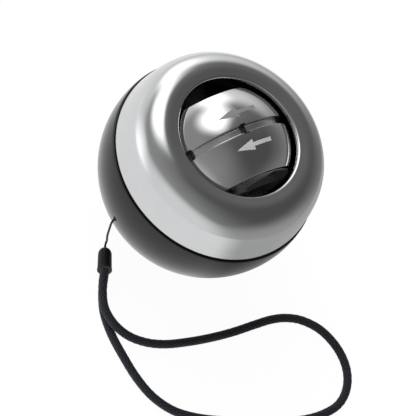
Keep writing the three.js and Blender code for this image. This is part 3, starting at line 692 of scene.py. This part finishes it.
def tube(name, points, spacing, radius, sides, relief, depth):
    """A tube whose surface rises from radius - depth to radius by relief(distance along, share of a turn)."""
    vertices, faces, crowns = [], [], []
    normal = None
    for i, point in enumerate(points):
        heading = (points[min(i + 1, len(points) - 1)] - points[max(i - 1, 0)]).normalized()
        if normal is None:
            normal = heading.orthogonal().normalized()
        normal = (normal - heading * normal.dot(heading)).normalized()
        side = heading.cross(normal)
        for k in range(sides):
            crown = relief(i * spacing, k / sides)
            angle = FULL_TURN * k / sides
            out = normal * math.cos(angle) + side * math.sin(angle)
            vertices.append((point + out * (radius - depth + depth * crown)) * MM)
            crowns.append(crown)
    for i in range(len(points) - 1):
        for k in range(sides):
            n = (k + 1) % sides
            faces.append((i * sides + k, i * sides + n, (i + 1) * sides + n, (i + 1) * sides + k))
    last = (len(points) - 1) * sides
    faces.append(tuple(range(sides)))
    faces.append(tuple(last + k for k in range(sides)))
    piece = mesh_piece(name, vertices, faces, sharp_edges=False)
    piece.data.attributes.new("crown", "FLOAT", "POINT").data.foreach_set("value", crowns)
    return piece


def braid(along, share):
    """Two families of yarns that wind opposite ways and pass over and under each other."""
    one = share * BRAID_PAIRS + along / BRAID_PITCH
    other = share * BRAID_PAIRS - along / BRAID_PITCH
    over = (math.floor(one) + math.floor(other)) % 2 == 0
    across, length = (one, other) if over else (other, one)
    crest = abs(math.sin(math.pi * across)) ** YARN_ROUNDNESS
    return crest * (1 - YARN_DIP + YARN_DIP * math.sin(math.pi * (length % 1)))


def twist(along, share):
    """Two yarns that wind round each other."""
    return abs(math.cos(FULL_TURN * (share - along / TWIST_PITCH / 2)))


def lanyard_cord():
    points, length = smooth_route(CORD_ROUTE, CORD_SPACING)
    spacing = length / (len(points) - 1)
    cord = tube("wrist_cord", points, spacing, CORD_RADIUS, CORD_SIDES, braid, CORD_RELIEF)
    finish_piece(cord, "housing", cord_weave, "cord_fabric", "lanyard_cord")
    return cord, [p * MM for p in points], length


def lanyard_thread():
    points, length = smooth_route(THREAD_ROUTE, THREAD_SPACING)
    spacing = length / (len(points) - 1)
    thread = tube("lanyard_string", points, spacing, THREAD_RADIUS, THREAD_SIDES, twist, THREAD_RELIEF)
    return finish_piece(thread, "housing", thread_weave, "thread_fabric", "lanyard_thread")


def lanyard_cap():
    """A domed end cap, wider across the two strands, with a thin lip at its mouth."""
    half, mouth, mouth_top = LACE_CAP_HALF_WIDTH, LACE_CAP_MOUTH, LACE_CAP_MOUTH_DEPTH
    lip, lip_top = half + LACE_CAP_LIP, LACE_CAP_LIP_HEIGHT
    outline = [(0, mouth_top), (mouth, mouth_top), (mouth, 0), (lip, 0), (lip, lip_top), (half, 2 * lip_top)]
    for i in range(LACE_CAP_STEPS):
        angle = QUARTER_TURN * i / LACE_CAP_STEPS
        height = LACE_CAP_LENGTH - half + half * math.sin(angle)
        outline.append(((half - LACE_CAP_TAPER) * math.cos(angle), height))
    outline.append((0, LACE_CAP_LENGTH))
    piece = turned("lanyard_end_cap", rounded(outline, LACE_CAP_CORNERS), LACE_CAP_SIDES)
    piece.data.transform(Matrix.Translation((0, 0, -SEAM_HEIGHT * MM)))
    piece.data.transform(Matrix.Diagonal((1, LACE_CAP_HALF_DEPTH / LACE_CAP_HALF_WIDTH, 1, 1)))
    along = Vector(LACE_CAP_HEADING).normalized()
    stack = Vector(STRAND_STACK_LEAN).normalized()
    across = stack.cross(along).normalized()
    turn = Matrix((across, stack, along)).transposed().to_4x4()
    piece.data.transform(Matrix.Translation(Vector(LACE_CAP_FOOT) * MM) @ turn)
    return finish_piece(piece, "housing", cap_plastic, "cap_plastic", "lanyard_cap")


string = lanyard_thread()
end_cap = lanyard_cap()
cord, cord_path, cord_length = lanyard_cord()
# The shells mirror no lanyard in the photograph
for piece in (string, end_cap, cord):
    piece.visible_glossy = False


# Shells
def upper_shell():
    marks = [(a * SEAM_RADIUS, b * LIP_HEIGHT) for a, b in UPPER_SHARES]
    marks[0] = (marks[0][0], SEAM_GAP / 2)
    outer = natural_spline(marks, UPPER_POINTS)
    thinned = natural_spline(marks, UPPER_INNER_POINTS)
    inner = []
    for i, (across, up) in enumerate(thinned):
        before, after = thinned[max(i - 1, 0)], thinned[min(i + 1, len(thinned) - 1)]
        run = Vector(after) - Vector(before)
        inner.append((across - run.y / run.length * SHELL_WALL, up + run.x / run.length * SHELL_WALL))
    inner[0] = (inner[0][0], SEAM_GAP / 2)
    foot = RIM_HEIGHT - RIM_DEPTH
    rim = [(RIM_RADIUS, RIM_HEIGHT), (RIM_RADIUS, foot), (RIM_RADIUS + RIM_RETURN, foot - RIM_RETURN / 2)]
    outline = [*outer, *rim, *reversed(inner)]
    first_rim = len(outer)
    edges = {0: LIP_FOOT_EDGE, first_rim: RIM_ROUND, first_rim + 1: RIM_FOOT_EDGE}
    outline = rounded(outline, edges, 2 * ARC_STEPS)
    piece = turned("upper_shell_skin", outline, SHELL_SIDES)
    piece.data.materials.append(satin_metal)
    piece.data.materials.append(shell_inside_shade)
    # Faces inside the shell, below the rim's foot, take the near-black paint: painted shade inside the ball
    for face in piece.data.polygons:
        inward = face.normal.x * face.center.x + face.normal.y * face.center.y < 0
        if inward and face.center.z < (SEAM_HEIGHT + foot) * MM:
            face.material_index = 1
    finish_piece(piece, "housing", satin_metal, "satin_shell", "upper_shell")


def lower_shell():
    top = -SEAM_GAP / 2
    wall_radius = BALL_RADIUS - SHELL_WALL
    floor_height = BASE_HEIGHT + SHELL_WALL
    outer = arc(BALL_RADIUS, -BALL_CENTRE_DROP, BASE_HEIGHT, top - 2 * SEAM_EDGE, LOWER_STEPS)
    outer.append((leg_of(BALL_RADIUS, top + BALL_CENTRE_DROP), top))
    inner = arc(wall_radius, -BALL_CENTRE_DROP, floor_height, top, LOWER_INNER_STEPS)
    outline = [(0, BASE_HEIGHT), *outer, *reversed(inner), (0, floor_height)]
    outline = rounded(outline, {1: BASE_EDGE, len(outer): SEAM_EDGE})
    piece = turned("lower_shell_skin", outline, SHELL_SIDES)
    piece.data.materials.append(dark_metal)
    inside, flare = wall_radius - LACE_HOLE_CUT_BELOW, LACE_HOLE_FLARE
    hole_outline = [(0, inside), (LACE_HOLE_RADIUS, inside), (LACE_HOLE_RADIUS, BALL_RADIUS - flare),
                    (LACE_HOLE_RADIUS + 2 * flare, BALL_RADIUS + flare), (0, BALL_RADIUS + flare)]
    hole = turned("hole", hole_outline, HOLE_SIDES)
    hole.data.materials.append(dark_metal)
    centre = Vector((0, 0, SEAM_HEIGHT - BALL_CENTRE_DROP))
    outward = (Vector(LACE_EXIT) - centre).normalized()
    turn = outward.to_track_quat("Z", "Y").to_matrix().to_4x4()
    hole.data.transform(Matrix.Translation((0, 0, -SEAM_HEIGHT * MM)))
    hole.data.transform(Matrix.Translation(centre * MM) @ turn)
    combine(piece, hole, "DIFFERENCE")
    finish_piece(piece, "housing", dark_metal, "dark_shell", "lower_shell")


def seam_band():
    inner = RACE_OUTER + SLEEVE_GAP
    outer = inner + SLEEVE_WALL
    half, web = SLEEVE_HALF_HEIGHT, BAND_HALF_HEIGHT
    outline = [(inner, -half), (outer, -half), (outer, -web), (BAND_RADIUS, -web), (BAND_RADIUS, web),
               (outer, web), (outer, half), (inner, half)]
    piece = turned("seam_gasket", rounded(outline, {3: BAND_EDGE, 4: BAND_EDGE}), SHELL_SIDES)
    finish_piece(piece, "housing", band_rubber, "band", "seam_band")


# Rotor
def notch_tool():
    """The boxes that cut the notches out of the groove's walls and floor."""
    low, high = ROTOR_RADIUS - GROOVE_DEPTH - NOTCH_DEPTH, ROTOR_RADIUS + NOTCH_CUT_ABOVE
    half = GROOVE_HALF_WIDTH + NOTCH_OVERLAP
    boxes = []
    for i in range(NOTCH_COUNT):
        turn = about_axle(90 - NOTCH_ANGLE - 360 * i / NOTCH_COUNT)
        boxes.append(((-half, -NOTCH_WIDTH / 2, low), (half, NOTCH_WIDTH / 2, high), turn))
    tool = boxes_piece("notches", boxes)
    # The cut faces take this darker metal, which is painted shade in the notches
    tool.data.materials.append(notch_painted_shade)
    return tool


def rotor_half(name, side, node):
    seat = CAP_RADIUS + SEAT_GAP
    flat = ROTOR_FLAT - (RIGHT_FLAT_SINK if side > 0 else 0)
    sphere = arc(ROTOR_RADIUS, 0, GROOVE_HALF_WIDTH, flat, DOME_STEPS)
    outline = [(BORE_RADIUS, GROOVE_HALF_WIDTH), *sphere, (seat, flat), (seat, CAP_SEAT),
               (BORE_RADIUS, CAP_SEAT)]
    outline = rounded(outline, {1: GROOVE_EDGE, len(sphere): FLAT_EDGE, len(sphere) + 1: SEAT_EDGE})
    piece = turned(name, [(radius, side * along) for radius, along in outline], ROTOR_SIDES, about_x=True)
    piece.data.materials.append(rotor_chrome)
    combine(piece, notch_tool(), "DIFFERENCE")
    finish_piece(piece, "rotor", rotor_chrome, "rotor_chrome", node)


def rotor_core():
    """The band in the groove, with a shallow recess between two ledges."""
    half = GROOVE_HALF_WIDTH - FACE_GAP
    ledge = half - CORE_LEDGE
    recess = ledge - CORE_SLOPE
    top = ROTOR_RADIUS - GROOVE_DEPTH
    floor_radius = top - CORE_RECESS
    outline = [(BORE_RADIUS, -half), (top, -half), (top, -ledge), (floor_radius, -recess),
               (floor_radius, recess), (top, ledge), (top, half), (BORE_RADIUS, half)]
    outline = rounded(outline, dict.fromkeys((1, 2, 5, 6), CORE_EDGE))
    piece = turned("rotor_core_band", outline, ROTOR_SIDES, about_x=True)
    piece.data.materials.append(core_steel)
    combine(piece, notch_tool(), "DIFFERENCE")
    finish_piece(piece, "rotor", core_steel, "rotor_core_steel", "rotor_core")


# Printed arrows: name, ink, centre across the rotor, the angles of tip, barbs and tail, and the half widths
# of head and shaft. An angle of 0 is at the front of the rotor, and one of 90 at its top
# The right arrow's ink is painted lighter and the left arrow's darker: lit and shaded copies of one print
ARROW_PLACES = [
    ("arrow_right", print_painted_light, 5.28, 73.2, 87.6, 104.6, 1.6, 0.58),
    ("arrow_left", print_painted_shade, -5.52, 71.8, 88.3, 105.8, 1.65, 0.6),
]
TIP_HALF_WIDTH = 0.03
PRINT_HEIGHT = 0.03
PRINT_SINK = 0.05


def arrow(name, ink, centre, tip, barb, tail, head_half, shaft_half):
    """A thin printed arrow that lies on the rotor's sphere."""
    shares = [i / ARROW_STEPS for i in range(ARROW_STEPS + 1)]
    rows = [(tip + (barb - tip) * s, TIP_HALF_WIDTH + (head_half - TIP_HALF_WIDTH) * s) for s in shares]
    rows += [(barb + (tail - barb) * s, shaft_half) for s in shares]
    vertices, faces = [], []
    for height in (PRINT_HEIGHT, -PRINT_SINK):
        for degrees, half in rows:
            angle = math.radians(degrees)
            for k in range(ARROW_COLUMNS + 1):
                x = centre - half + 2 * half * k / ARROW_COLUMNS
                reach = leg_of(ROTOR_RADIUS, x) + height
                spot = (x, -reach * math.cos(angle), reach * math.sin(angle) + SEAM_HEIGHT)
                vertices.append(Vector(spot) * MM)
    row = ARROW_COLUMNS + 1
    layer = len(rows) * row
    for i in range(len(rows) - 1):
        for k in range(ARROW_COLUMNS):
            a = i * row + k
            faces.append((a, a + 1, a + row + 1, a + row))
            faces.append(tuple(layer + v for v in (a, a + row, a + row + 1, a + 1)))
        for a in (i * row, i * row + ARROW_COLUMNS):
            faces.append((a, a + row, a + row + layer, a + layer))
    for first in (0, (len(rows) - 1) * row):
        for k in range(ARROW_COLUMNS):
            faces.append((first + k, first + k + 1, first + k + 1 + layer, first + k + layer))
    piece = mesh_piece(name, vertices, faces)
    finish_piece(piece, "rotor", ink, "rotor_chrome")


def right_cap():
    """A ribbed dish in the rotor's right flat."""
    face, foot = CAP_FACE - RIGHT_FLAT_SINK, CAP_SEAT + FACE_GAP
    outline = [(BORE_RADIUS, foot), (CAP_RADIUS, foot), (CAP_RADIUS, face), (CAP_RADIUS - CAP_LAND, face),
               (DISH_RADIUS, CAP_FLOOR), (BOSS_RADIUS, CAP_FLOOR), (BOSS_RADIUS, BOSS_TOP),
               (BORE_RADIUS, BOSS_TOP)]
    piece = turned("end_cap_right", rounded(outline, CAP_CORNERS), ROTOR_SIDES, about_x=True)
    low = (CAP_SEAT + RIB_RISE, BOSS_RADIUS - RIB_OVERLAP, -RIB_HALF_WIDTH)
    high = (face - RIB_DROP, CAP_RADIUS - CAP_LAND / 2, RIB_HALF_WIDTH)
    ribs = [(low, high, about_axle(360 / RIB_COUNT * i)) for i in range(RIB_COUNT)]
    combine(piece, boxes_piece("ribs", ribs), "UNION")
    bevel(piece, CAP_EDGE)
    finish_piece(piece, "rotor", end_plastic, "race_plastic", "rotor_cap_right")


upper_shell()
lower_shell()
seam_band()
rotor_half("rotor_dome_right", 1, "rotor_half_right")
rotor_half("rotor_dome_left", -1, "rotor_half_left")
rotor_core()
right_cap()
for place in ARROW_PLACES:
    arrow(*place)

# The nodes that keep their shape from the CAD get a material and soft edges
SOFT_EDGE = 0.12
KEPT = {
    "upper_race": black_plastic, "lower_race": black_plastic, "lanyard_pin": plain_steel,
    "ring_upper": ring_plastic, "ring_lower": ring_plastic, "bush_left": bush_brass, "bush_right": bush_brass,
    "spring_barrel": ring_plastic, "spring_cover": plain_steel, "mainspring": spring_steel,
    "spring_arbor": ring_plastic, "pawl_a": plain_steel, "pawl_b": plain_steel, "axle": plain_steel,
    "rotor_cap_left": black_plastic,
}
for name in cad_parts:
    if name.startswith(("ring_screw", "cap_screw")):
        KEPT[name] = plain_steel
for name, material in KEPT.items():
    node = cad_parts[name]
    node.data.materials.clear()
    node.data.materials.append(material)
    bevel(node, SOFT_EDGE)
